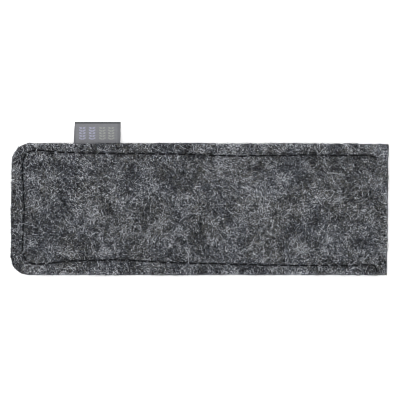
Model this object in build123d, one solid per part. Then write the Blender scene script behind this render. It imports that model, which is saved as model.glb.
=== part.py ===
"""A soft glasses pouch of thick wool felt, sewn on three sides, with a folded woven label.

Two felt panels lie face to face. A lockstitch seam runs round both long sides and the closed
end, and the short side at +X is the open mouth. The front panel bows up from the back panel, so
the pocket stands a little open. A needle thread shows on the front, a bobbin thread on the back,
and the two meet half way through the felt. A ribbon label folded in two is caught in the +Y seam.

Frame, in millimetres: the origin is the middle of the back panel's resting face, +X points out
of the mouth, +Y to the label's side and +Z out of the front panel.
"""
from build123d import *
import os
from math import comb

# Felt panels
LENGTH = 180.0
WIDTH = 62.6
FELT = 3.0
CLOSED_CORNER_RADIUS = 8.8
MOUTH_CORNER_RADIUS = 0.7
MOUTH_SKEW = 0.9  # the hand-cut mouth ends this much further out on the +Y side
END_SKEW = 0.5  # and the closed end this much further in

# Pocket between the panels: the front panel bows up by a product of two Bezier curves
POCKET_RISE = 6.0
POCKET_START = -LENGTH / 2 + 8.0
POCKET_END = LENGTH / 2 + 2.0  # past the mouth, so that the pocket is open there
POCKET_HALF_WIDTH = 23.2
RISE_ALONG = (0.0, 0.35, 0.95, 1.1, 1.0, 1.0, 1.0)
RISE_ACROSS = (0.0, 0.35, 1.35, 0.95, 1.35, 0.35, 0.0)

# Seam: where the needle went in, from the mouth along +Y, round the closed end and back
SEAM_LINE = (
    (84.6, 24.4),
    (81.0, 25.5),
    (50.0, 25.8),
    (15.0, 25.4),
    (-15.0, 26.3),
    (-50.0, 26.6),
    (-66.0, 27.1),
    (-77.5, 28.1),
    (-83.0, 26.2),
    (-84.3, 20.0),
    (-83.6, 0.0),
    (-84.3, -18.0),
    (-82.6, -24.6),
    (-77.0, -26.3),
    (-68.0, -25.3),
    (-43.0, -24.0),
    (-15.0, -25.3),
    (32.0, -26.6),
    (81.0, -26.7),
)
THREAD_TAIL = ((81.7, -26.5), (83.5, -27.3), (84.4, -29.6))  # a loose end on the front panel
STITCH_LENGTH = 4.8
THREAD_RADIUS = 0.25
BEND_RADIUS = 0.3  # of a stitch's middle line, where it turns into a needle hole
LEG_OFFSET = 0.27  # two stitches' legs stand side by side in a needle hole
NEEDLE_HOLE_RADIUS = 0.58
FURROW_RADIUS = 0.45  # the stitches sink into the felt
THREAD_DEPTH = 0.3  # from the felt's face to the middle of a stitch

# Ribbon label
LABEL_WIDTH = 22.2
LABEL_START = -60.25  # its edge nearest the closed end
LABEL_REACH = 10.4  # from the felt's edge to the fold
RIBBON = 0.4  # thickness of one layer
RIBBON_GAP = 0.1  # between the two layers
LABEL_SEWN_DEPTH = 9.0
LABEL_STUB = 0.35  # of the sewn end, outside the felt
LABEL_PIVOT_OUT = 0.9  # from the felt's edge to the line that the label bends on
POCKET_CLEARANCE = 0.3
LABEL_HOLE_RADIUS = 0.8

LOCK_PLANE = FELT  # the panels' faces meet here
FRONT_FACE = 2 * FELT
EDGE = WIDTH / 2
LABEL_THICKNESS = 2 * RIBBON + RIBBON_GAP
LABEL_MIDDLE = LABEL_START + LABEL_WIDTH / 2


def outline(height):
    """A prism of the panels' outline: two rounded corners, and a slightly slanted mouth."""
    left, right = -LENGTH / 2, LENGTH / 2
    corners = [
        (left, -EDGE),
        (right - MOUTH_SKEW, -EDGE),
        (right, EDGE),
        (left + END_SKEW, EDGE),
    ]
    prism = extrude(make_face(Polyline(*corners, close=True)), height)
    uprights = prism.edges().filter_by(Axis.Z).sort_by(Axis.X)
    prism = fillet(uprights[:2], CLOSED_CORNER_RADIUS)
    uprights = prism.edges().filter_by(Axis.Z).sort_by(Axis.X)
    return fillet(uprights[-2:], MOUTH_CORNER_RADIUS)


def pocket(floor):
    """The space under the bowed panel, as a solid that stands on the plane z = floor."""
    columns = len(RISE_ALONG) - 1
    rows = len(RISE_ACROSS) - 1
    grid = [
        [
            (
                POCKET_START + (POCKET_END - POCKET_START) * i / columns,
                POCKET_HALF_WIDTH * (2 * j / rows - 1),
                floor + POCKET_RISE * RISE_ALONG[i] * RISE_ACROSS[j],
            )
            for j in range(rows + 1)
        ]
        for i in range(columns + 1)
    ]
    roof = Face.make_bezier_surface(grid)
    base = make_face(
        Polyline(
            (POCKET_START, -POCKET_HALF_WIDTH, floor),
            (POCKET_END, -POCKET_HALF_WIDTH, floor),
            (POCKET_END, POCKET_HALF_WIDTH, floor),
            (POCKET_START, POCKET_HALF_WIDTH, floor),
            close=True,
        )
    ).face()
    mouth = Face(Wire([Edge.make_bezier(*grid[-1]), Edge.make_line(grid[-1][0], grid[-1][-1])]))
    return Solid(Shell([roof, base, mouth]))


def rise_at(x, y):
    """How far the front panel stands above the back one at a point, by the same curves."""
    def curve(heights, t):
        n = len(heights) - 1
        return sum(comb(n, k) * heights[k] * t**k * (1 - t) ** (n - k) for k in range(n + 1))

    along = (x - POCKET_START) / (POCKET_END - POCKET_START)
    across = (y + POCKET_HALF_WIDTH) / (2 * POCKET_HALF_WIDTH)
    return POCKET_RISE * curve(RISE_ALONG, along) * curve(RISE_ACROSS, across)


def needle_points():
    """The stitch ends, evenly spaced along the seam."""
    seam = Spline(*SEAM_LINE)
    stitches = round(seam.length / STITCH_LENGTH)
    return [seam @ (i / stitches) for i in range(stitches + 1)]


def rod(start, end, radius):
    """A round bar between two points."""
    along = end - start
    return Solid.make_cylinder(radius, along.length, Plane(origin=start, z_dir=along))


def lifted(points, z):
    return [Vector(p.X, p.Y, z) for p in points]


def stitch(start, end, z):
    """One stitch at height z, with a leg at each end down or up to the lock plane."""
    step = (end - start).normalized() * LEG_OFFSET
    near, far = start + step, end - step
    corners = [
        Vector(near.X, near.Y, LOCK_PLANE),
        Vector(near.X, near.Y, z),
        Vector(far.X, far.Y, z),
        Vector(far.X, far.Y, LOCK_PLANE),
    ]
    path = FilletPolyline(*corners, radius=BEND_RADIUS)
    return sweep(Plane(origin=path @ 0, z_dir=path % 0) * Circle(THREAD_RADIUS), path)


def thread(points, z):
    """A row of stitches. Neighbours share a needle hole, side by side."""
    return [stitch(a, b, z) for a, b in zip(points, points[1:])]


def thread_tail():
    """The needle thread's loose end, curled on the front panel by the mouth."""
    height = FRONT_FACE + THREAD_RADIUS
    path = ThreePointArc(*[(x, y, height) for x, y in THREAD_TAIL])
    return sweep(Plane(origin=path @ 0, z_dir=path % 0) * Circle(THREAD_RADIUS), path)


def needle_holes(points, radius, low, high):
    return [rod(a, b, radius) for a, b in zip(lifted(points, low), lifted(points, high))]


def furrow(points, z):
    """The channel that the stitches press into the felt."""
    path = lifted(points, z)
    return [rod(a, b, FURROW_RADIUS) for a, b in zip(path, path[1:])]


def label_slot():
    """Room for the ribbon's sewn end between the panels."""
    size = (
        LABEL_WIDTH + 2 * POCKET_CLEARANCE,
        2 * LABEL_SEWN_DEPTH + 2 * POCKET_CLEARANCE,
        LABEL_THICKNESS + 0.1,
    )
    return Pos(LABEL_MIDDLE, EDGE, LOCK_PLANE) * Box(*size)


def front_panel(points):
    plate = extrude(Plane.XY.offset(FELT) * Rectangle(2 * LENGTH, 2 * WIDTH), FELT)
    bowed = plate + pocket(FRONT_FACE) - pocket(LOCK_PLANE)
    bowed = bowed & outline(FRONT_FACE + 2 * POCKET_RISE)
    cuts = furrow(points, FRONT_FACE - THREAD_DEPTH + (FURROW_RADIUS - THREAD_RADIUS) / 2)
    cuts += needle_holes(points, NEEDLE_HOLE_RADIUS, LOCK_PLANE - 1, FRONT_FACE)
    return bowed - label_slot() - cuts


def back_panel(points):
    cuts = furrow(points, THREAD_DEPTH - (FURROW_RADIUS - THREAD_RADIUS) / 2)
    cuts += needle_holes(points, NEEDLE_HOLE_RADIUS, 0, LOCK_PLANE + 1)
    return outline(FELT) - label_slot() - cuts


def label_sewn_end(points):
    """The ribbon's two ends, one on the other, held in the seam and pierced by its stitches."""
    depth = LABEL_SEWN_DEPTH + LABEL_STUB
    middle = Pos(LABEL_MIDDLE, EDGE + LABEL_STUB - depth / 2, LOCK_PLANE)
    holes = needle_holes(points, LABEL_HOLE_RADIUS, LOCK_PLANE - 1, LOCK_PLANE + 1)
    return middle * Box(LABEL_WIDTH, depth, LABEL_THICKNESS) - holes


def label_tab():
    """The loop that stands out of the seam: two layers and the round fold that joins them."""
    start = EDGE + LABEL_PIVOT_OUT
    bend = EDGE + LABEL_REACH - LABEL_THICKNESS / 2
    middle, far = ((bend - start) / 2, 0), (bend - start, 0)
    outer = SlotCenterPoint(middle, far, LABEL_THICKNESS)
    inner = SlotCenterPoint(middle, far, RIBBON_GAP)
    open_end = Pos(-LABEL_THICKNESS, 0) * Rectangle(2 * LABEL_THICKNESS, 2 * LABEL_THICKNESS)
    side = Plane(origin=(LABEL_START, start, LOCK_PLANE), x_dir=(0, 1, 0), z_dir=(1, 0, 0))
    return extrude(side * (outer - inner - open_end), LABEL_WIDTH)


def main():
    points = needle_points()
    parts = {
        "front_panel": front_panel(points),
        "back_panel": back_panel(points),
        "needle_thread": Compound(thread(points, FRONT_FACE - THREAD_DEPTH) + [thread_tail()]),
        "bobbin_thread": Compound(thread(points, THREAD_DEPTH)),
        "label_sewn_end": label_sewn_end(points),
        "label_tab": label_tab(),
    }
    os.makedirs("parts", exist_ok=True)
    for name, part in parts.items():
        export_step(part, f"parts/{name}.step")
    print("stitches", len(points) - 1)
    print("pocket height at the mouth", round(rise_at(LENGTH / 2, 0), 2))
    print("pocket height 11 mm off the middle, 10 mm past it", round(rise_at(10, 11), 2))


main()
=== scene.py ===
"""Looks of a soft felt glasses pouch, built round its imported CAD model. Lengths are in metres."""
import math

import bmesh
import bpy
import numpy as np
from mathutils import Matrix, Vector


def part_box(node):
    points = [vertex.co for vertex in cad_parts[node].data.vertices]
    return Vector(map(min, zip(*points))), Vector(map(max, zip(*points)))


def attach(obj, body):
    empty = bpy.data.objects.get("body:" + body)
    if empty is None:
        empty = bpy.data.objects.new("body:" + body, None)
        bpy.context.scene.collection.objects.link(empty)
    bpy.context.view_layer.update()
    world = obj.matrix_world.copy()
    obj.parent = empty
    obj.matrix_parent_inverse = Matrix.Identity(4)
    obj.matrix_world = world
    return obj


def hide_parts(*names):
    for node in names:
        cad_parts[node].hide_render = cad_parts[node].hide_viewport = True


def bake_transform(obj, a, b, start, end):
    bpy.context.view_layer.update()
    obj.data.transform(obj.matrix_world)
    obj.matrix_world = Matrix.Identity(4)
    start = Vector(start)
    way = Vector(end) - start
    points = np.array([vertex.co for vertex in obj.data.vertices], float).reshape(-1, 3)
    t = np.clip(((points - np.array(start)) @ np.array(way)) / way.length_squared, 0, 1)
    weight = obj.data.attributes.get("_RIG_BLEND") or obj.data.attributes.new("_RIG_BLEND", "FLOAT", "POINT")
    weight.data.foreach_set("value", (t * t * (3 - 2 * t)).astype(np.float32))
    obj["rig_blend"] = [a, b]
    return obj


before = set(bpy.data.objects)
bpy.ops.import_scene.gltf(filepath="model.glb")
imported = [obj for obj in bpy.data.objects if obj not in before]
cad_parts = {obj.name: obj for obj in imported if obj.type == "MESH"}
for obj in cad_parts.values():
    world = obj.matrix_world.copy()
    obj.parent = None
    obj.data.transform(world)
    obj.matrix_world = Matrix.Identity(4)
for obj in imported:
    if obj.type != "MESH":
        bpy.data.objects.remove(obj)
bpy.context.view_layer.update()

MM = 0.001
X, Y, Z = 0, 1, 2
SIDES = ((1, "label_side"), (-1, "far_side"))

# The felt, as the frame has it
back_low, back_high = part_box("back_panel")
_, front_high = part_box("front_panel")
FELT = back_high.z - back_low.z
LOCK_PLANE = back_high.z
FRONT_FACE = LOCK_PLANE + FELT
LEFT, RIGHT = back_low.x, back_high.x
EDGE = back_high.y
LENGTH, WIDTH = RIGHT - LEFT, 2 * EDGE
FRONT_STEP = 0.55 * MM  # spacing of the meshes' points
BACK_STEP = 0.9 * MM
PLY_GAP = 0.03 * MM
MATTING = 0.25 * MM  # the two panels' faces are matted together along the closed end
MATTING_WIDTH = 4 * MM
BACK_LIFT = 0.2 * MM  # room for the fibres under the back panel
BACK_DIP = 0.8  # the back's seam and lumps are shallower than the front's
BACK_RELIEF = 0.4
RELIEF_WAVES = ((0.10, 9 * MM), (0.07, 3.5 * MM), (0.055, 1.1 * MM))  # height in mm, length

# Its outline and its cut edges
CORNER = 8.8 * MM
MOUTH_SKEW = 0.9 * MM  # the mouth is cut this much further out on the label's side
END_SKEW = 0.5 * MM  # and the closed end this much further in
SKEW_POWER = 8  # the higher, the nearer to the two ends the skew stays
MOUTH_DRAW = 1.2 * MM  # the mouth's edge is drawn in where the front panel bows
MOUTH_DRAW_WIDTH = 0.3 * WIDTH
MOUTH_DRAW_BASE = 0.25
LABEL_SIDE_DRAW = 0.35 * MM  # by the mouth, the label's side is cut this much nearer the middle
LABEL_SIDE_START = 72 * MM
LABEL_SIDE_RUN = 6 * MM
EDGE_WAVES = ((0.16, 14 * MM), (0.09, 2.2 * MM), (0.09, 1.0 * MM))  # height in mm, length
ROUNDING = 0.45 * MM
SHOULDER = 0.7  # below 1, the rounding has a fuller shoulder
WALL_ROWS = 9

# The pocket: the same two Bezier curves as the CAD panel, out to the seam
POCKET_RISE = front_high.z - FRONT_FACE
POCKET_START = LEFT + 7.5 * MM
POCKET_END = RIGHT + 2 * MM
POCKET_HALF_WIDTH = 24.2 * MM
RISE_ALONG = (0.0, 0.35, 0.95, 1.1, 1.0, 1.0, 1.0)
RISE_ACROSS = (0.0, 0.35, 1.35, 0.95, 1.35, 0.35, 0.0)

# The seam, from the mouth along +Y, round the closed end and back, in millimetres
SEAM_LINE = (
    (84.6, 24.4),
    (81.0, 25.5),
    (50.0, 25.8),
    (15.0, 25.4),
    (-15.0, 26.3),
    (-50.0, 26.6),
    (-66.0, 27.1),
    (-77.5, 28.1),
    (-83.0, 26.2),
    (-84.3, 20.0),
    (-83.6, 0.0),
    (-84.3, -18.0),
    (-82.6, -24.6),
    (-77.0, -26.3),
    (-68.0, -25.3),
    (-43.0, -24.0),
    (-15.0, -25.3),
    (32.0, -26.6),
    (81.0, -26.7),
)
STITCH = 4.8 * MM
FURROW_DEPTH = 0.75 * MM
FURROW_WIDTH = 0.6 * MM
PINCH_DEPTH = 0.25 * MM
PINCH_WIDTH = 2.2 * MM
HOLE_CLOSING = 0.7
HOLE_WIDTH = 1.0 * MM
BLEND_START = 24.6 * MM  # the seam stays shut outside this line, and the panel bends inside it

# Thread
PLIES = 2
PLY_SIDES = 6
PLY_RADIUS = 0.22 * MM
PLY_OFFSET = 0.16 * MM
TWIST_PITCH = 1.5 * MM
STITCH_POINTS = 25
STITCH_WOBBLE = 0.14 * MM
STITCH_HEIGHT = 0.22 * MM  # of its middle line over the felt's face
STITCH_DIVE = 1.4 * MM  # into a needle hole at each end
DIVE_POWER = 5
BOBBIN_FLOOR = 0.3 * MM
THREAD_TAIL = ((81.2, -26.6), (82.2, -26.4), (83.5, -27.3), (84.1, -28.6), (84.4, -29.8))
TAIL_HEIGHT = 0.3 * MM
TAIL_STEP = 0.2 * MM
TAIL_DIVE = 1.0 * MM
TAIL_DIVE_POINTS = 4

# Wool strands: how many, how long, how wide, and how much they curl in radians per metre
SHORT_WOOL = (40000, 1.2 * MM, 0.15 * MM, 650.0)
LONG_WOOL = (6000, 3.4 * MM, 0.14 * MM, 300.0)
NUBS = (10000, 0.7 * MM, 0.3 * MM, 1500.0)
UNDER_WOOL = (14000, 2.6 * MM, 0.26 * MM, 1000.0)
POCKET_FLOOR_WOOL = (5000, 2.1 * MM, 0.17 * MM, 1000.0)
POCKET_ROOF_WOOL = (2600, 2.1 * MM, 0.17 * MM, 1000.0)
WALL_WOOL = (8000, 1.1 * MM, 0.14 * MM, 900.0)
FACE_POINTS = 7
WALL_POINTS = 5
FARTHEST_LAP = 0.7 * MM  # of a strand over the felt's edge
FURROW_CLEAR = 0.5 * MM  # no strand lies this near the seam
HOLE_CLEAR = 0.7 * MM  # except this near a needle hole
POCKET_SEEN = 60 * MM  # how far into the pocket the inside has strands
HAIRS = 4200
HAIR_POINTS = 5
HAIR_LENGTH = 0.75 * MM
HAIR_WIDTH = 0.08 * MM

# Shades of wool
CLOUDS = ((0.35, 11 * MM, 8102), (1.1, 5 * MM, 8754), (0.8, 2 * MM, 75))  # weight, size, seed
CLOUD_CONTRAST = 0.44
SHADE_LEVELS = (-0.45, 0.15, 0.75, 1.4)
FACE_LEVEL = 0.11
WALL_LEVEL = -0.35
# painted light: how much lighter the strands beside the cut edges are shaded, where the rim catches the
# light
PAINTED_RIM_LIGHT = 0.5
RIM_WIDTH = 0.85 * MM

# The label, as the frame has it
tab_low, tab_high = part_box("label_tab")
sewn_low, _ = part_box("label_sewn_end")
LABEL_WIDTH = tab_high.x - tab_low.x
LABEL_LAYER = 0.26 * MM
LABEL_OPEN = 0.2 * MM  # half the space between the two layers, at the fold
LABEL_BEND = tab_high.y - LABEL_OPEN - LABEL_LAYER  # where the fold starts
LABEL_ROOT = sewn_low.y
LABEL_SLANT = 0.6 * MM  # the edge nearest the closed end leans in towards the fold
LABEL_SPREAD = 0.15 * MM  # the other edge stands out this much, and twice this at the fold
LABEL_FRAY = 0.04 * MM
LABEL_COLUMNS = 56
FLOAT_WIDTH = 0.36 * MM
FLOAT_HEIGHT = 0.04 * MM
FLOAT_POINTS = 6
CHEVRON_PITCH = 0.42 * MM

# The camera's view
VIEW_WIDTH = LENGTH * 1.0575
VIEW_MIDDLE = (0.2 * MM, 4.4 * MM)  # off the felt's middle, because the label stands out


# ---------------------------------------------------------------- shape


def bezier(heights, t):
    """A Bezier curve of these control heights, at t from 0 to 1."""
    n = len(heights) - 1
    t = np.clip(t, 0, 1)
    return sum(math.comb(n, k) * h * t**k * (1 - t) ** (n - k) for k, h in enumerate(heights))


def rise(x, y):
    """How far the front panel bows up from the back panel."""
    along = bezier(RISE_ALONG, (x - POCKET_START) / (POCKET_END - POCKET_START))
    across = bezier(RISE_ACROSS, (y / POCKET_HALF_WIDTH + 1) / 2)
    return POCKET_RISE * along * across


def bilinear(values, i, j, u, v):
    """A grid's values, shares u and v of the way from row i and column j to the next ones."""
    next_i, next_j = (i + 1) % values.shape[0], (j + 1) % values.shape[1]
    near = values[i, j] * (1 - u) + values[next_i, j] * u
    far = values[i, next_j] * (1 - u) + values[next_i, next_j] * u
    return near * (1 - v) + far * v


def lattice_noise(x, y, cell, seed):
    """Smooth noise from -1 to 1 with features about one cell wide."""
    size = 256  # cells until it repeats
    table = np.random.default_rng(seed).uniform(-1, 1, (size, size))
    gx, gy = x / cell + 2 * size, y / cell + 2 * size
    i, j = np.floor(gx).astype(int), np.floor(gy).astype(int)
    u, v = gx - i, gy - j
    u, v = u * u * (3 - 2 * u), v * v * (3 - 2 * v)
    return bilinear(table, i % size, j % size, u, v)


def run_along(line):
    """How far along a line each of its points is."""
    return np.concatenate([[0], np.cumsum(np.linalg.norm(np.diff(line, axis=0), axis=1))])


def smooth_line(points, step):
    """A Catmull-Rom curve through points, as points an even step apart."""
    p = np.array(points, float)
    p = np.vstack([2 * p[0] - p[1], p, 2 * p[-1] - p[-2]])
    pieces = 40  # between two points
    t = np.linspace(0, 1, pieces, endpoint=False)[:, None]
    runs = []
    for a, b, c, d in zip(p, p[1:], p[2:], p[3:]):
        runs.append(
            0.5 * (2 * b + (c - a) * t + (2 * a - 5 * b + 4 * c - d) * t**2
                   + (3 * b - a - 3 * c + d) * t**3)
        )
    fine = np.vstack([*runs, p[-2:-1]])
    along = run_along(fine)
    at = np.linspace(0, along[-1], max(2, round(along[-1] / step) + 1))
    return np.stack([np.interp(at, along, fine[:, k]) for k in range(p.shape[1])], axis=1)


needle_holes = smooth_line(np.array(SEAM_LINE) * MM, STITCH)


def nearest(points, line):
    """How far each point is from the nearest point of the line."""
    best = np.full(len(points), np.inf)
    chunk = 32  # keeps the arrays small
    for start in range(0, len(line), chunk):
        part = line[start:start + chunk]
        squares = ((points[:, None, :] - part[None]) ** 2).sum(-1).min(1)
        best = np.minimum(best, squares)
    return np.sqrt(best)


class SeamMap:
    """How far each point in plan is from the seam and from its needle holes, on a grid."""

    def __init__(self, cell):
        margin = 2 * MM
        self.cell = cell
        self.start = np.array([LEFT, -EDGE]) - margin
        stop = np.array([RIGHT, EDGE]) + margin
        xs, ys = (np.arange(self.start[k], stop[k], cell) for k in (X, Y))
        gx, gy = np.meshgrid(xs, ys, indexing="ij")
        plan = np.stack([gx.ravel(), gy.ravel()], axis=1)
        self.lines = nearest(plan, smooth_line(needle_holes, cell)).reshape(gx.shape)
        self.holes = nearest(plan, needle_holes).reshape(gx.shape)

    def look_up(self, values, x, y):
        """The grid's values, interpolated at each point."""
        gx = np.clip((x - self.start[X]) / self.cell, 0, values.shape[0] - 1.001)
        gy = np.clip((y - self.start[Y]) / self.cell, 0, values.shape[1] - 1.001)
        i, j = gx.astype(int), gy.astype(int)
        return bilinear(values, i, j, gx - i, gy - j)


seam_map = SeamMap(0.4 * MM)


def seam_distance(x, y):
    return seam_map.look_up(seam_map.lines, x, y)


def hole_distance(x, y):
    return seam_map.look_up(seam_map.holes, x, y)


def hump(distance, width):
    """1 in the middle, falling smoothly to nearly nothing at twice this width."""
    return np.exp(-((distance / width) ** 2))


def dip(x, y):
    """The seam's dip in the felt: a furrow that closes over each needle hole, in a wide pinch."""
    line = seam_distance(x, y)
    furrow = FURROW_DEPTH * hump(line, FURROW_WIDTH)
    closed = 1 - HOLE_CLOSING * hump(hole_distance(x, y), HOLE_WIDTH)
    return furrow * closed + PINCH_DEPTH * hump(line, PINCH_WIDTH)


def relief(x, y, seed):
    """The felt's own unevenness: soft lumps with finer ones on them."""
    lumps = [
        height * lattice_noise(x, y, cell, seed + k)
        for k, (height, cell) in enumerate(RELIEF_WAVES)
    ]
    return sum(lumps) * MM


def front_top(x, y):
    return FRONT_FACE + rise(x, y) - dip(x, y) + relief(x, y, seed=11)


def front_under(x, y):
    """The front panel's inner face, matted into the back panel's along the closed end."""
    return LOCK_PLANE + PLY_GAP - MATTING * hump(x - LEFT, MATTING_WIDTH) + rise(x, y)


def back_top(x, y):
    return np.full_like(x, LOCK_PLANE - PLY_GAP)


def back_under(x, y):
    return BACK_LIFT + dip(x, y) * BACK_DIP + relief(x, y, seed=31) * BACK_RELIEF


def edge_wander(s, seed):
    """A hand-cut edge is never quite straight."""
    return sum(height * lattice_noise(s, 0 * s, cell, seed) for height, cell in EDGE_WAVES) * MM


def long_side(x, side):
    """y of a long side's cut edge: uneven, and on the label's side drawn in by the mouth."""
    share = np.clip((x - LABEL_SIDE_START) / LABEL_SIDE_RUN, 0, 1)
    drawn_in = LABEL_SIDE_DRAW * share * (side > 0)
    return side * (EDGE - drawn_in) + edge_wander(x, 50 + side)


def outline_edge(x, side, inset):
    """The long side's y at each x, round the closed end's corner, inset into the felt."""
    radius = CORNER - inset
    into = np.clip(LEFT + CORNER - x, 0, radius)
    return long_side(x, side) - side * (CORNER - np.sqrt(radius**2 - into**2))


def closed_end(y):
    """x of the closed end's edge, which is cut a little off square."""
    return LEFT + END_SKEW * (y / WIDTH + 0.5) + edge_wander(y, 53)


def mouth(y):
    """x of the mouth's edge: off square as well, and drawn in where the front panel bows."""
    drawn_in = MOUTH_DRAW * (hump(y, MOUTH_DRAW_WIDTH) - MOUTH_DRAW_BASE)
    return RIGHT - MOUTH_SKEW * (0.5 - y / WIDTH) - drawn_in + edge_wander(y, 57)


def skewed(x, y):
    """x on a straight panel moved to where the uneven ends leave it."""
    t = np.clip((x - LEFT) / LENGTH, 0, 1)
    by_closed_end = (closed_end(y) - LEFT) * (1 - t) ** SKEW_POWER
    return x + by_closed_end + (mouth(y) - RIGHT) * t**SKEW_POWER


def edge_distance(x, y):
    """How far inside the panel's outline a point in plan is. It is negative outside."""
    left = closed_end(y)
    across = np.minimum(long_side(x, 1) - y, y - long_side(x, -1))
    straight = np.minimum(np.minimum(x - left, mouth(y) - x), across)
    corner_x, corner_y = left + CORNER - x, np.abs(y) - (EDGE - CORNER)
    in_corner = (corner_x > 0) & (corner_y > 0)
    return np.where(in_corner, CORNER - np.hypot(corner_x, corner_y), straight)


def columns(step):
    """x of the grid's columns: by angle round the closed end's corner, then evenly."""
    radius = CORNER - ROUNDING
    fewest = 8  # round the corner
    angles = np.linspace(math.pi / 2, 0, max(fewest, round(radius * math.pi / 2 / step)))
    corner = LEFT + CORNER - radius * np.sin(angles)
    start, stop = LEFT + CORNER, RIGHT - ROUNDING
    straight = np.linspace(start, stop, round((stop - start) / step) + 1)
    return np.concatenate([corner, straight[1:]])


# ---------------------------------------------------------------- meshes


def mesh_object(name, points, faces, material):
    """A smooth mesh from an array of points and an array of quads."""
    mesh = bpy.data.meshes.new(name)
    points = np.asarray(points, np.float32).reshape(-1, 3)
    faces = np.asarray(faces, np.int32)
    starts = np.arange(0, faces.size, faces.shape[1], dtype=np.int32)
    mesh.vertices.add(len(points))
    mesh.vertices.foreach_set("co", points.ravel())
    mesh.loops.add(faces.size)
    mesh.loops.foreach_set("vertex_index", faces.ravel())
    mesh.polygons.add(len(faces))
    mesh.polygons.foreach_set("loop_start", starts)
    mesh.update(calc_edges=True)
    mesh.validate()
    mesh.shade_smooth()
    obj = bpy.data.objects.new(name, mesh)
    bpy.context.scene.collection.objects.link(obj)
    mesh.materials.append(material)
    return obj


def grid_faces(rows, cols, first=0, flip=False):
    """Quads over a grid of points numbered row by row."""
    i, j = np.meshgrid(np.arange(rows - 1), np.arange(cols - 1), indexing="ij")
    a = (first + i * cols + j).ravel()
    quads = np.stack([a, a + cols, a + cols + 1, a + 1], axis=1)
    return quads[:, ::-1] if flip else quads


def tube_faces(rows, cols):
    """Quads over a grid of points numbered row by row, where each row is a closed ring."""
    i, j = np.meshgrid(np.arange(rows - 1), np.arange(cols), indexing="ij")
    a, b = (i * cols + j).ravel(), (i * cols + (j + 1) % cols).ravel()
    return np.stack([a, a + cols, b + cols, b], axis=1)


def ring_of(rows, cols):
    """The grid's border, once round."""
    top = [(0, j) for j in range(cols)]
    right = [(i, cols - 1) for i in range(1, rows)]
    low = [(rows - 1, j) for j in range(cols - 2, -1, -1)]
    left = [(i, 0) for i in range(rows - 2, 0, -1)]
    return np.array(top + right + low + left)


def outward(ring):
    """The unit normals of a closed ring of points in plan, pointing out of it."""
    along = np.roll(ring, -1, axis=0) - np.roll(ring, 1, axis=0)
    normal = np.stack([along[:, 1], -along[:, 0]], axis=1)
    normal /= np.maximum(np.linalg.norm(normal, axis=1), 1e-12)[:, None]
    area = (ring[:, 0] * np.roll(ring[:, 1], -1) - np.roll(ring[:, 0], -1) * ring[:, 1]).sum()
    return normal if area > 0 else -normal


def slab(name, xy, z_top, z_low, material, flush=None):
    """A felt panel on a grid in plan, with round-shouldered walls along its border.

    flush marks the border points on a cut line that another piece continues past: the wall
    there is flat, and its edges are sharp, so that the two pieces' faces shade as one."""
    rows, cols = xy.shape[:2]
    size = rows * cols
    points = [np.dstack([xy, z]).reshape(-1, 3) for z in (z_top, z_low)]
    faces = [grid_faces(rows, cols), grid_faces(rows, cols, size, flip=True)]
    row, col = ring_of(rows, cols).T
    plan, high, low = (grid[row, col] for grid in (xy, z_top, z_low))
    out = outward(plan)
    held = np.zeros(len(row), bool) if flush is None else flush[row, col]
    bulge = np.where(held, 0.0, ROUNDING)
    rings = [row * cols + col]
    for step, angle in enumerate(np.linspace(0, math.pi, WALL_ROWS + 1)[1:-1]):
        share = (1 - math.cos(angle)) / 2
        reach = bulge * math.sin(angle) ** SHOULDER
        height = high * (1 - share) + low * share
        points.append(np.column_stack([plan + out * reach[:, None], height]))
        rings.append(2 * size + step * len(row) + np.arange(len(row)))
    rings.append(rings[0] + size)
    for a, b in zip(rings, rings[1:]):
        faces.append(np.stack([a, b, np.roll(b, -1), np.roll(a, -1)], axis=1))
    obj = mesh_object(name, np.vstack(points), np.vstack(faces), material)
    fix_normals(obj)
    if flush is not None:
        sharpen_cut(obj)
    return obj


def fix_normals(obj):
    """All faces outward."""
    shape = bmesh.new()
    shape.from_mesh(obj.data)
    bmesh.ops.recalc_face_normals(shape, faces=shape.faces)
    shape.to_mesh(obj.data)
    shape.free()


def places(mesh):
    """The places of a mesh's points, as one flat array."""
    co = np.zeros(len(mesh.vertices) * 3, np.float32)
    mesh.vertices.foreach_get("co", co)
    return co


def sharpen_cut(obj):
    """Marks the edges of the flat cut wall at y = 0 as sharp."""
    mesh = obj.data
    on_cut = np.abs(places(mesh).reshape(-1, 3)[:, Y]) < 1e-7
    pairs = np.zeros(len(mesh.edges) * 2, np.int32)
    mesh.edges.foreach_get("vertices", pairs)
    sharp = on_cut[pairs.reshape(-1, 2)].all(axis=1)
    attributes = mesh.attributes
    mark = attributes.get("sharp_edge") or attributes.new("sharp_edge", "BOOLEAN", "EDGE")
    mark.data.foreach_set("value", sharp)


def keep_rest_place(obj):
    """Stores each point's place at rest, so that the felt's pattern stays on it as it bends."""
    attribute = obj.data.attributes.new("rest_place", "FLOAT_VECTOR", "POINT")
    attribute.data.foreach_set("vector", places(obj.data))


# ---------------------------------------------------------------- materials


def srgb(*values):
    """A colour given as 0 to 255 screen values, made linear, with alpha."""
    linear = [v / 255 / 12.92 if v < 10 else ((v / 255 + 0.055) / 1.055) ** 2.4 for v in values]
    return (*linear, 1.0)


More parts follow.
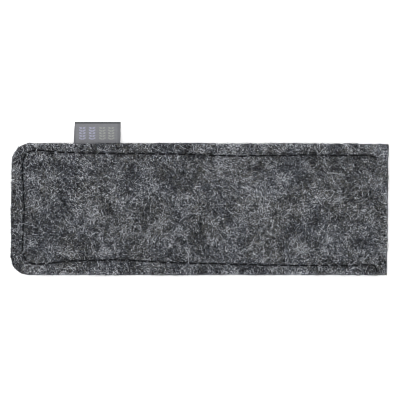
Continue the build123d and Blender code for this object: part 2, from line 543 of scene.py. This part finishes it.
class Recipe:
    """A material under construction: makes nodes and links them in one call each."""

    def __init__(self, name):
        self.material = bpy.data.materials.new(name)
        self.material.use_nodes = True
        self.tree = self.material.node_tree
        self.shader = self.tree.nodes["Principled BSDF"]

    def put(self, socket, value):
        if isinstance(value, bpy.types.NodeSocket):
            self.tree.links.new(value, socket)
        else:
            socket.default_value = value

    def node(self, kind, inputs=(), output=0, **settings):
        made = self.tree.nodes.new(kind)
        for key, value in settings.items():
            setattr(made, key, value)
        for key, value in dict(inputs).items():
            self.put(made.inputs[key], value)
        return made.outputs[output]

    def maths(self, operation, a, b=0.0):
        return self.node("ShaderNodeMath", {0: a, 1: b}, operation=operation)

    def distance(self, a, b):
        return self.maths("ABSOLUTE", self.maths("SUBTRACT", a, b))

    def noise(self, place, scale, detail=2.0, distortion=0.0):
        inputs = {"Vector": place, "Scale": scale, "Detail": detail, "Distortion": distortion}
        return self.node("ShaderNodeTexNoise", inputs)

    def stripes(self, place, scale, direction):
        """Slightly uneven stripes: the Wave texture's second output is its strength."""
        inputs = {"Vector": place, "Scale": scale, "Distortion": 0.4}
        return self.node("ShaderNodeTexWave", inputs, 1, bands_direction=direction)

    def spread(self, value, low, high, to_low=0.0, to_high=1.0):
        """A value's range from low to high, moved to another range."""
        inputs = {
            "Value": value,
            "From Min": low,
            "From Max": high,
            "To Min": to_low,
            "To Max": to_high,
        }
        return self.node("ShaderNodeMapRange", inputs)

    def mix(self, share, a, b):
        """A colour between two, through the colour sockets of the Mix node."""
        made = self.tree.nodes.new("ShaderNodeMix")
        made.data_type = "RGBA"
        for index, value in ((0, share), (6, a), (7, b)):
            self.put(made.inputs[index], value)
        return made.outputs[2]

    def millimetres(self):
        """Where the point is at rest, in millimetres."""
        place = self.node("ShaderNodeAttribute", output="Vector", attribute_name="rest_place")
        return self.scaled(place, 1 / MM)

    def scaled(self, vector, factor):
        return self.node("ShaderNodeVectorMath", {0: vector, "Scale": factor}, operation="SCALE")

    def coordinate(self, place, axis):
        return self.node("ShaderNodeSeparateXYZ", {0: place}, axis)

    def bump(self, height, strength, distance):
        inputs = {"Height": height, "Strength": strength, "Distance": distance}
        return self.node("ShaderNodeBump", inputs)

    def turned(self, place, angle, stretch=1.0):
        inputs = {"Vector": place, "Rotation": (0, 0, angle), "Scale": (stretch, 1, 1)}
        return self.node("ShaderNodeMapping", inputs)

    def finish(self, **values):
        for key, value in values.items():
            self.put(self.shader.inputs[key.replace("_", " ")], value)
        return self.material


def felt_material():
    """Pressed wool: a tangle of fibres, lighter and darker in clouds, over a dark ground."""
    r = Recipe("felt")
    place = r.millimetres()
    tangle = 0.0
    for angle, scale in ((0.3, 1.1), (1.4, 1.6), (2.5, 1.3)):
        wave = r.noise(r.turned(place, angle, stretch=0.6), scale, detail=3.0, distortion=1.6)
        line = r.spread(r.distance(wave, 0.5), 0.0, 0.035, 1.0, 0.0)
        tangle = r.maths("MAXIMUM", line, tangle)
    clouds = r.noise(place, scale=0.14, detail=3.0)
    grain = r.noise(place, scale=2.2, detail=3.0)
    ground = r.mix(r.spread(grain, 0.3, 0.7), srgb(22, 22, 24), srgb(66, 67, 70))
    wool = r.mix(r.maths("MULTIPLY", tangle, 0.35), ground, srgb(118, 120, 125))
    return r.finish(
        Base_Color=r.scaled(wool, r.spread(clouds, 0.3, 0.7, 0.8, 1.15)),
        Roughness=r.spread(grain, 0.3, 0.7, 0.85, 1.0),
        Normal=r.bump(r.maths("ADD", grain, tangle), strength=0.6, distance=0.12 * MM),
        Specular_IOR_Level=0.1,
    )


def fibre_material(name, colour):
    """One shade of the wool that the felt is blended from."""
    return Recipe(name).finish(Base_Color=colour, Roughness=0.8, Specular_IOR_Level=0.12)


def thread_material():
    """Black sewing thread: its twist is in the mesh, and only its fuzz is here."""
    r = Recipe("thread")
    fuzz = r.noise(r.millimetres(), scale=6.0)
    colour = r.mix(fuzz, srgb(8, 8, 9), srgb(26, 26, 29))
    return r.finish(Base_Color=colour, Roughness=0.6, Specular_IOR_Level=0.05)


def ribbon_material():
    """A finely woven label: weft lines across, warp lines along, darker at its edges and fold."""
    r = Recipe("ribbon")
    place = r.millimetres()
    weave = r.maths("MULTIPLY", r.stripes(place, 1.25, "Y"), r.stripes(place, 1.6, "X"))
    uneven = r.noise(place, scale=0.8, detail=3.0)
    cloth = r.mix(weave, srgb(112, 113, 117), srgb(158, 159, 163))
    cloth = r.mix(r.spread(uneven, 0.35, 0.65, 0.0, 0.35), cloth, srgb(112, 113, 118))
    fold_line = tab_high.y / MM
    fold = r.spread(r.coordinate(place, Y), fold_line - 1.0, fold_line - 0.6)
    middle = (tab_low.x + tab_high.x) / 2 / MM
    half = LABEL_WIDTH / 2 / MM
    from_middle = r.distance(r.coordinate(place, X), middle)
    selvedge = r.spread(from_middle, half - 1.5, half - 0.9, 0.0, 0.45)
    cloth = r.mix(selvedge, cloth, srgb(96, 97, 101))
    return r.finish(
        Base_Color=r.mix(fold, cloth, srgb(76, 79, 80)),
        Roughness=0.6,
        Normal=r.bump(weave, strength=0.5, distance=0.05 * MM),
        Specular_IOR_Level=0.25,
    )


FELT_LOOK = felt_material()
THREAD_LOOK = thread_material()
RIBBON_LOOK = ribbon_material()
SHADES = {
    "ink": fibre_material("wool_ink", srgb(16, 16, 18)),
    "slate": fibre_material("wool_slate", srgb(54, 56, 60)),
    "steel": fibre_material("wool_steel", srgb(91, 95, 105)),
    "taupe": fibre_material("wool_taupe", srgb(102, 101, 97)),
    "silver": fibre_material("wool_silver", srgb(136, 139, 145)),
    "pale": fibre_material("wool_pale", srgb(202, 205, 211)),
}


# ---------------------------------------------------------------- felt panels


def half_grid(side, step):
    """A grid in plan over one half of a panel, from y = 0 out to its long side."""
    xs = columns(step)
    shares = np.linspace(0, 1, round(EDGE / step) + 1)
    edge = outline_edge(xs, side, ROUNDING)
    y = edge[:, None] * shares[None, :]
    x = skewed(np.repeat(xs[:, None], len(shares), axis=1), y)
    return np.dstack([x, y])


def whole_grid(step):
    """A grid in plan over a whole panel."""
    low, high = half_grid(-1, step), half_grid(1, step)
    return np.concatenate([low[:, :0:-1], high], axis=1)


def whole_border():
    """The outline of a panel, inset by its rounding, once round."""
    xy = whole_grid(BACK_STEP)
    row, col = ring_of(*xy.shape[:2]).T
    border = xy[row, col]
    return np.vstack([border, border[:1]])


def ride_back(obj):
    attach(obj, "back")


def bend_with_front(obj, side):
    """The piece stays with the back panel at the seam and follows the front panel's middle."""
    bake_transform(obj, "back", "front", start=(0, side * BLEND_START, 0), end=(0, 0, 0))


def bender(side):
    """What bends a front piece of this side with the front panel."""
    return lambda obj: bend_with_front(obj, side)


def make_back():
    xy = whole_grid(BACK_STEP)
    x, y = xy[..., X], xy[..., Y]
    back = slab("felt_back", xy, back_top(x, y), back_under(x, y), FELT_LOOK)
    keep_rest_place(back)
    ride_back(back)
    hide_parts("back_panel")


def make_front_half(side, name):
    xy = half_grid(side, FRONT_STEP)
    x, y = xy[..., X], xy[..., Y]
    on_cut = np.abs(y) < 1e-9
    half = slab(name, xy, front_top(x, y), front_under(x, y), FELT_LOOK, flush=on_cut)
    keep_rest_place(half)
    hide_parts("front_panel")
    bend_with_front(half, side)


def make_pouch():
    make_back()
    for side, name in SIDES:
        make_front_half(side, f"felt_front_{name}")


# ---------------------------------------------------------------- fibres


def ribbons(name, paths, sideways, widths, material):
    """Flat strands: paths and sideways are (strand, point, xyz), and the ends are tapered."""
    count, points = paths.shape[:2]
    blunt = 0.12
    taper = np.sin(np.linspace(blunt, math.pi - blunt, points)) ** 0.5
    half = sideways * (widths[:, None] * taper[None, :] / 2)[..., None]
    corners = np.stack([paths - half, paths + half], axis=2).reshape(-1, 3)
    strand, point = np.meshgrid(np.arange(count), np.arange(points - 1), indexing="ij")
    a = (2 * (strand * points + point)).ravel()
    faces = np.stack([a, a + 2, a + 3, a + 1], axis=1)
    return mesh_object(name, corners, faces, material)


def curls(rng, count, length, points, curl):
    """Strand centrelines in a plane, from the origin: they wander and curl as crimped wool does."""
    heading = rng.uniform(0, 2 * math.pi, (count, 1))
    bend = rng.normal(0, curl, (count, 1)) + rng.normal(0, curl * 0.7, (count, points - 1))
    evenness = 6  # of the strands' lengths
    step = rng.gamma(evenness, length / evenness, (count, 1)) / (points - 1)
    angle = heading + np.cumsum(bend * step, axis=1)
    moves = np.stack([np.cos(angle), np.sin(angle)], axis=2) * step[..., None]
    path = np.concatenate([np.zeros((count, 1, 2)), np.cumsum(moves, axis=1)], axis=1)
    along = np.concatenate([angle[:, :1], angle], axis=1)
    return path - path.mean(axis=1, keepdims=True), along


def moved_in(x, y, lap):
    """Strands that would run off the panel are moved in until they only lap over its rim."""
    off_x = np.clip(x, closed_end(y) - lap, mouth(y) + lap) - x
    off_y = np.clip(y, long_side(x, -1) - lap, long_side(x, 1) + lap) - y
    return [
        place + off.min(axis=1, keepdims=True) + off.max(axis=1, keepdims=True)
        for place, off in ((x, off_x), (y, off_y))
    ]


def shoulder_drop(x, y):
    """How far the felt's face has rounded down by this point near its edge."""
    reach = np.clip(1 - edge_distance(x, y) / ROUNDING, 0, 0.95)
    return FELT * (1 - np.sqrt(1 - reach ** (2 / SHOULDER))) / 2


def pick_shade(rng, x, y, level):
    """Which shade each strand has. Light and dark wool lie in clouds, and so do cool and warm.

    level sets how light the strands are on the whole. Along the seam's furrow the strands get darker shades,
    as painted shade in the furrow."""
    cloud = sum(weight * lattice_noise(x, y, cell, seed) for weight, cell, seed in CLOUDS)
    # painted shade: strands near the seam's furrow get darker shades, standing in for the furrow's shadow
    furrow = 0.5 * hump(seam_distance(x, y), 0.7 * MM)
    level = rng.normal(level, 1, len(x)) + CLOUD_CONTRAST * cloud - furrow
    shade = np.digitize(level, SHADE_LEVELS)
    warm = rng.normal(0, 0.5, len(x)) + lattice_noise(x, y, 9 * MM, 74) > 0
    steel, taupe = (list(SHADES).index(name) for name in ("steel", "taupe"))
    return np.where(shade > steel, shade + 1, np.where((shade == steel) & warm, taupe, shade))


def painted_rim_light(x, y):
    """Painted light: the strands beside a cut edge get lighter shades, where the rim catches more light, but
    not at the closed end.
    """
    share = np.clip((x - LEFT) / CORNER - 0.3, 0, 1)
    return PAINTED_RIM_LIGHT * share * hump(edge_distance(x, y), RIM_WIDTH)


def face_strands(rng, wool, keep, height, up):
    """Strands that lie on a face of the felt: their paths, side vectors, widths and shades."""
    count, length, width, curl = wool
    x = rng.uniform(LEFT, RIGHT, 2 * count)
    y = rng.uniform(-EDGE, EDGE, 2 * count)
    kept = np.flatnonzero(keep(x, y))[:count]
    x, y = x[kept], y[kept]
    flat, along = curls(rng, len(x), length, FACE_POINTS, curl)
    lap = rng.uniform(-0.3, 0.6, (len(x), 1)) * MM
    px, py = moved_in(x[:, None] + flat[..., 0], y[:, None] + flat[..., 1], lap)
    arch = np.sin(np.linspace(0, math.pi, FACE_POINTS))[None, :]
    lift = (rng.uniform(0.02, 0.16, (len(x), 1)) * arch - 0.03) * MM
    paths = np.stack([px, py, height(px, py) + up * (lift - shoulder_drop(px, py))], axis=2)
    roll = rng.uniform(-0.7, 0.7, (len(x), 1))
    side_x, side_y = -np.sin(along) * np.cos(roll), np.cos(along) * np.cos(roll)
    side = np.stack([side_x, side_y, np.broadcast_to(np.sin(roll), along.shape)], axis=2)
    widths = width * rng.uniform(0.6, 1.5, len(x))
    # the level holds painted light beside the cut edges, and pick_shade adds painted shade along the seam
    shades = pick_shade(rng, x, y, FACE_LEVEL + painted_rim_light(x, y))
    whole = (edge_distance(px, py) > -FARTHEST_LAP).all(axis=1)
    return paths[whole], side[whole], widths[whole], shades[whole]


def wall_strands(rng, z_low, z_high):
    """Strands on a panel's cut edge: shorter, finer and darker than on its face."""
    count, length, width, curl = WALL_WOOL
    border = whole_border()
    around = run_along(border)
    out = outward(border)
    s = rng.uniform(0, around[-1], count)
    flat, _ = curls(rng, count, length, WALL_POINTS, curl)
    ps = np.mod(s[:, None] + flat[..., 0], around[-1])
    h = rng.uniform(0.08, 0.92, (count, 1)) + flat[..., 1] * 0.6 / FELT
    h = np.clip(h, 0.06, 0.94)
    px, py = (np.interp(ps, around, border[:, k]) for k in (X, Y))
    nx, ny = (np.interp(ps, around, out[:, k]) for k in (X, Y))
    arch = np.sin(np.linspace(0, math.pi, WALL_POINTS))[None, :]
    shoulder = np.sin(np.arccos(1 - 2 * h)) ** SHOULDER
    lift = (rng.uniform(0.02, 0.12, (count, 1)) * arch - 0.03) * MM + ROUNDING * shoulder
    low, high = z_low(px, py), z_high(px, py)
    paths = np.stack([px + nx * lift, py + ny * lift, low + (high - low) * h], axis=2)
    side = np.stack([nx * 0.3, ny * 0.3, np.full_like(nx, 0.95)], axis=2)
    widths = width * rng.uniform(0.6, 1.5, count)
    return paths, side, widths, pick_shade(rng, px[:, 0], py[:, 0], WALL_LEVEL)


def loose_hairs(rng, roots, out):
    """Fine hairs that stand off the felt at all angles, and which root each grows from."""
    pick = rng.integers(0, len(roots), HAIRS)
    base, normal = roots[pick], out[pick]
    direction = normal + rng.normal(0, 0.8, (HAIRS, 3))
    direction /= np.linalg.norm(direction, axis=1)[:, None]
    bend = rng.normal(0, 0.5, (HAIRS, 3))
    evenness = 4  # of the hairs' lengths
    reach = np.minimum(rng.gamma(evenness, HAIR_LENGTH / evenness, HAIRS), 2 * HAIR_LENGTH)
    t = np.linspace(0, 1, HAIR_POINTS)[None, :, None]
    curve = direction[:, None] * t + bend[:, None] * t**2 * 0.6
    paths = base[:, None] + curve * reach[:, None, None]
    paths[..., Z] = np.maximum(paths[..., Z], 0.05 * MM)
    side = np.cross(direction, rng.normal(0, 1, (HAIRS, 3)))
    side /= np.maximum(np.linalg.norm(side, axis=1), 1e-9)[:, None]
    side = np.broadcast_to(side[:, None], paths.shape)
    return paths, side, HAIR_WIDTH * rng.uniform(0.6, 1.4, HAIRS), pick


def lay(prefix, strands, finish):
    """One piece for each shade of the strands."""
    *shapes, shades = strands
    for index, (shade, material) in enumerate(SHADES.items()):
        chosen = shades == index
        if chosen.any():
            obj = ribbons(f"{prefix}_{shade}", *(part[chosen] for part in shapes), material)
            finish(obj)


def on_panel(x, y):
    return edge_distance(x, y) > 0


def off_furrow(x, y):
    """On the panel, beside the seam's furrow or where that closes over a needle hole."""
    clear = (seam_distance(x, y) > FURROW_CLEAR) | (hole_distance(x, y) < HOLE_CLEAR)
    return on_panel(x, y) & clear


def by_mouth(x, y):
    """The part of the pocket that can be seen into."""
    return on_panel(x, y) & (x > RIGHT - POCKET_SEEN) & (np.abs(y) < POCKET_HALF_WIDTH)


def half_of(region, side):
    """The part of a region that is on this side of the middle line."""
    return lambda x, y: region(x, y) & (y * side > 0)


def make_fibres():
    rng = np.random.default_rng(7)
    for side, name in SIDES:
        lots = [
            face_strands(rng, wool, half_of(off_furrow, side), front_top, 1)
            for wool in (SHORT_WOOL, LONG_WOOL, NUBS)
        ]
        lay(f"front_{name}", [np.concatenate(parts) for parts in zip(*lots)], bender(side))
        wall = wall_strands(rng, front_under, front_top)
        mine = wall[0][:, 0, Y] * side > 0
        lay(f"front_wall_{name}", [part[mine] for part in wall], bender(side))
    lay("back_wall", wall_strands(rng, back_under, back_top), ride_back)
    lay("back_under", face_strands(rng, UNDER_WOOL, on_panel, back_under, -1), ride_back)
    lay("back_inner", face_strands(rng, POCKET_FLOOR_WOOL, by_mouth, back_top, 1), ride_back)
    for side, name in SIDES:
        roof = face_strands(rng, POCKET_ROOF_WOOL, half_of(by_mouth, side), front_under, -1)
        lay(f"front_inner_{name}", roof, bender(side))
    make_edge_hairs(rng)


def make_edge_hairs(rng):
    """Loose hairs round the cut edges of both panels."""
    border = whole_border()
    out = outward(border)
    level = rng.uniform(0.15, 0.95, len(border)) * 2 * FELT
    on_front = level > LOCK_PLANE
    level = level + rise(border[:, X], border[:, Y]) * on_front
    roots = np.column_stack([border + out * 0.35 * MM, level])
    normals = np.column_stack([out, np.zeros(len(out))])
    paths, side, widths, pick = loose_hairs(rng, roots, normals)
    front, label_side = on_front[pick], border[pick, Y] > 0
    groups = (
        ("back", ~front, ride_back),
        ("front_label_side", front & label_side, bender(1)),
        ("front_far_side", front & ~label_side, bender(-1)),
    )
    for name, chosen, finish in groups:
        hairs = paths[chosen], side[chosen], widths[chosen]
        obj = ribbons(f"edge_hairs_{name}", *hairs, SHADES["steel"])
        finish(obj)


# ---------------------------------------------------------------- threads


def twisted(centre, rng):
    """A twisted thread along a line: the points and faces of its plies."""
    along = np.gradient(centre, axis=0)
    along /= np.linalg.norm(along, axis=1)[:, None]
    across = np.cross(along, (0.31, 0.17, 0.93))
    across /= np.linalg.norm(across, axis=1)[:, None]
    other = np.cross(across, along)
    run = run_along(centre)
    start = rng.uniform(0, 2 * math.pi)
    turn = np.linspace(0, 2 * math.pi, PLY_SIDES, endpoint=False)[None, :, None]
    ring = np.cos(turn) * across[:, None] + np.sin(turn) * other[:, None]
    points, faces = [], []
    for ply in range(PLIES):
        phase = (start + 2 * math.pi * (run / TWIST_PITCH + ply / PLIES))[:, None]
        middle = centre + PLY_OFFSET * (np.cos(phase) * across + np.sin(phase) * other)
        points.append((middle[:, None] + PLY_RADIUS * ring).reshape(-1, 3))
        faces.append(ply * len(centre) * PLY_SIDES + tube_faces(len(centre), PLY_SIDES))
    return np.vstack(points), np.vstack(faces)


def stitch_line(start, end, surface, up, rng):
    """The middle line of one stitch: out of a needle hole, along the furrow, into the next."""
    t = np.linspace(0, 1, STITCH_POINTS)
    plan = start + (end - start) * t[:, None]
    across = np.array([-(end - start)[1], (end - start)[0]]) / np.linalg.norm(end - start)
    plan = plan + across * (rng.normal(0, STITCH_WOBBLE) * np.sin(math.pi * t))[:, None]
    level = np.median(surface(plan[:, X], plan[:, Y])) + up * STITCH_HEIGHT
    dive = STITCH_DIVE * np.abs(2 * t - 1) ** DIVE_POWER
    return np.column_stack([plan, level - up * dive])


def thread_piece(name, lines, rng):
    """Stitches of one thread, as one piece."""
    points, faces, first = [], [], 0
    for line in lines:
        line_points, line_faces = twisted(line, rng)
        points.append(line_points)
        faces.append(line_faces + first)
        first += len(line_points)
    obj = mesh_object(name, np.vstack(points), np.vstack(faces), THREAD_LOOK)
    keep_rest_place(obj)
    return obj


def tail_line():
    """The needle thread's loose end, curled on the front panel's face by the mouth."""
    plan = smooth_line(np.array(THREAD_TAIL) * MM, TAIL_STEP)
    height = front_top(plan[:, X], plan[:, Y]) + TAIL_HEIGHT
    height[:TAIL_DIVE_POINTS] -= np.linspace(1, 0, TAIL_DIVE_POINTS) * TAIL_DIVE
    return np.column_stack([plan, height])


def make_threads():
    rng = np.random.default_rng(5)
    pairs = list(zip(needle_holes, needle_holes[1:]))
    for side, name in SIDES:
        mine = [(a, b) for a, b in pairs if (a[Y] + b[Y]) * side > 0]
        lines = [stitch_line(a, b, front_top, 1, rng) for a, b in mine]
        if name == "far_side":
            lines.append(tail_line())
        obj = thread_piece(f"needle_thread_{name}", lines, rng)
        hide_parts("needle_thread")
        bend_with_front(obj, side)
    lines = [stitch_line(a, b, back_under, -1, rng) for a, b in pairs]
    for line in lines:
        line[:, Z] = np.maximum(line[:, Z], BOBBIN_FLOOR)
    obj = thread_piece("bobbin_thread_seam", lines, rng)
    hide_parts("bobbin_thread")
    ride_back(obj)


# ---------------------------------------------------------------- label


def label_opening(y):
    """Half the space between the two layers: nearly none at the felt, and widest at the fold."""
    return LABEL_OPEN * (0.15 + 0.85 * np.clip((y - EDGE) / (LABEL_BEND - EDGE), 0, 1) ** 1.5)


def label_profile():
    """The ribbon's section across the seam: (y, z) round its outer face, the fold and back."""
    runs = np.arange(LABEL_ROOT, LABEL_BEND, 0.3 * MM)
    turn = np.linspace(math.pi / 2, -math.pi / 2, 9)[1:-1]
    arc = np.column_stack([np.cos(turn), np.sin(turn)])
    outer = np.column_stack([runs, label_opening(runs) + LABEL_LAYER])
    inner = np.column_stack([runs, label_opening(runs)])
    flip = np.array([1, -1])
    return np.vstack([
        outer,
        (LABEL_OPEN + LABEL_LAYER) * arc + (LABEL_BEND, 0),
        outer[::-1] * flip,
        inner * flip,
        LABEL_OPEN * arc * flip + (LABEL_BEND, 0),
        inner[::-1],
    ])


def reach_out(y):
    """How far out a point on the label is, from 0 at the felt's edge to 1 at the fold."""
    return np.clip((y - EDGE) / (tab_high.y - EDGE), 0, 1)


def label_warp(x, y):
    """The ribbon isn't quite flat: it lifts a little at its far corner."""
    out = reach_out(y)
    along = (x - tab_low.x) / LABEL_WIDTH
    return (0.35 * out**2 * np.sin(2.2 * along + 0.4) - 0.1 * out) * MM


def label_top(x, y):
    """How high the label's upper face is over the plane between its two layers."""
    return label_opening(y) + LABEL_LAYER + label_warp(x, y)


def label_x(share, y):
    """x across the ribbon: one edge leans, and both wander by a thread's width."""
    out = reach_out(y)
    fray_low, fray_high = (
        LABEL_FRAY * lattice_noise(y, 0 * y, 1.2 * MM, seed) for seed in (81, 82)
    )
    low = tab_low.x + LABEL_SLANT * out + fray_low
    high = tab_high.x + LABEL_SPREAD + LABEL_SPREAD * out + fray_high
    return low + (high - low) * share


def side_cap(first, cols, turned):
    """Quads that close the ribbon's section at one side, from its outer to its inner face."""
    outer = first + np.arange(cols // 2)
    inner = first + cols - 1 - np.arange(cols // 2)
    quads = np.stack([outer[:-1], outer[1:], inner[1:], inner[:-1]], axis=1)
    return quads[:, ::-1] if turned else quads


def make_label():
    """The whole ribbon, from its two sewn ends to the fold, as one closed piece."""
    profile = label_profile()
    shares = np.linspace(0, 1, LABEL_COLUMNS)
    y = np.repeat(profile[None, :, 0], len(shares), axis=0)
    x = label_x(shares[:, None], y)
    z = LOCK_PLANE + profile[None, :, 1] + label_warp(x, y)
    rows, cols = y.shape
    caps = [side_cap(0, cols, turned=False), side_cap((rows - 1) * cols, cols, turned=True)]
    faces = np.vstack([tube_faces(rows, cols), *caps])
    obj = mesh_object("label_ribbon", np.stack([x, y, z], axis=2), faces, RIBBON_LOOK)
    fix_normals(obj)
    keep_rest_place(obj)
    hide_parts("label_tab", "label_sewn_end")
    bend_label(obj)


def bend_label(obj):
    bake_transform(obj, "back", "label", start=(0, EDGE + 0.1 * MM, 0), end=(0, EDGE + 2.4 * MM, 0))


def chevron_half(middle, y, turn):
    """A float of thread that slants away from its band's middle, to one side."""
    x = middle + turn * np.linspace(0.05, 1.6, FLOAT_POINTS) * MM
    along = y + np.linspace(-0.25, 0.25, FLOAT_POINTS) * MM
    z = LOCK_PLANE + label_top(x, along) + FLOAT_HEIGHT
    return np.column_stack([x, along, z])


def chevrons(middle):
    """One band of the pattern. Every third row is left out."""
    rows = np.arange(EDGE + 2.3 * MM, tab_high.y - 2.2 * MM, CHEVRON_PITCH)
    kept = [y for row, y in enumerate(rows) if row % 3 < 2]
    return [chevron_half(middle, y, turn) for y in kept for turn in (-1, 1)]


def make_motif():
    """A plain woven pattern: four bands of stacked chevrons, in two colours of weft."""
    colours = (
        ("lilac", srgb(158, 159, 180), (0.19, 0.40)),
        ("sage", srgb(148, 151, 146), (0.62, 0.81)),
    )
    for name, colour, bands in colours:
        look = Recipe(f"float_{name}").finish(Base_Color=colour, Roughness=0.6)
        middles = [tab_low.x + LABEL_WIDTH * band for band in bands]
        paths = np.array([path for middle in middles for path in chevrons(middle)])
        side = np.zeros_like(paths)
        side[..., Y] = 1
        widths = np.full(len(paths), FLOAT_WIDTH)
        obj = ribbons(f"label_floats_{name}", paths, side, widths, look)
        bend_label(obj)


# ---------------------------------------------------------------- studio


def make_floor():
    """White paper just under the pouch, bright enough to fade into the background."""
    bpy.ops.mesh.primitive_plane_add(size=8, location=(0, 0, -0.05 * MM))
    floor = bpy.context.object
    floor.name = "floor"
    paper = Recipe("paper").finish(
        Base_Color=(0.9, 0.9, 0.9, 1),
        Roughness=0.9,
        Emission_Color=(1, 1, 1, 1),
        Emission_Strength=0.4,
    )
    floor.data.materials.append(paper)


def make_light(name, place, size, power):
    """A round soft light that faces the pouch."""
    data = bpy.data.lights.new(name, "AREA")
    data.shape, data.size, data.energy = "DISK", size, power
    light = bpy.data.objects.new(name, data)
    light.location = place
    light.rotation_mode = "QUATERNION"
    light.rotation_quaternion = (-Vector(place)).to_track_quat("-Z", "Y")
    bpy.context.scene.collection.objects.link(light)


def make_studio():
    scene = bpy.context.scene
    scene.view_settings.view_transform = "Standard"
    scene.cycles.filter_width = 1.0
    world = bpy.data.worlds.new("studio")
    world.use_nodes = True
    background = world.node_tree.nodes["Background"].inputs
    background["Color"].default_value = (1, 1, 1, 1)
    background["Strength"].default_value = 0.88
    scene.world = world
    make_light("key", place=(-0.2, 0.05, 0.95), size=0.6, power=2.6)
    make_floor()


def make_camera():
    """Straight above, with the closed end on the left, as wide as the pouch and a narrow margin."""
    data = bpy.data.cameras.new("camera")
    data.lens, data.sensor_width = 100, 36
    camera = bpy.data.objects.new("camera", data)
    above = VIEW_WIDTH * data.lens / data.sensor_width + FRONT_FACE
    camera.location = (*VIEW_MIDDLE, above)
    bpy.context.scene.collection.objects.link(camera)
    bpy.context.scene.camera = camera


make_camera()
make_studio()
make_pouch()
make_threads()
make_label()
make_motif()
make_fibres()
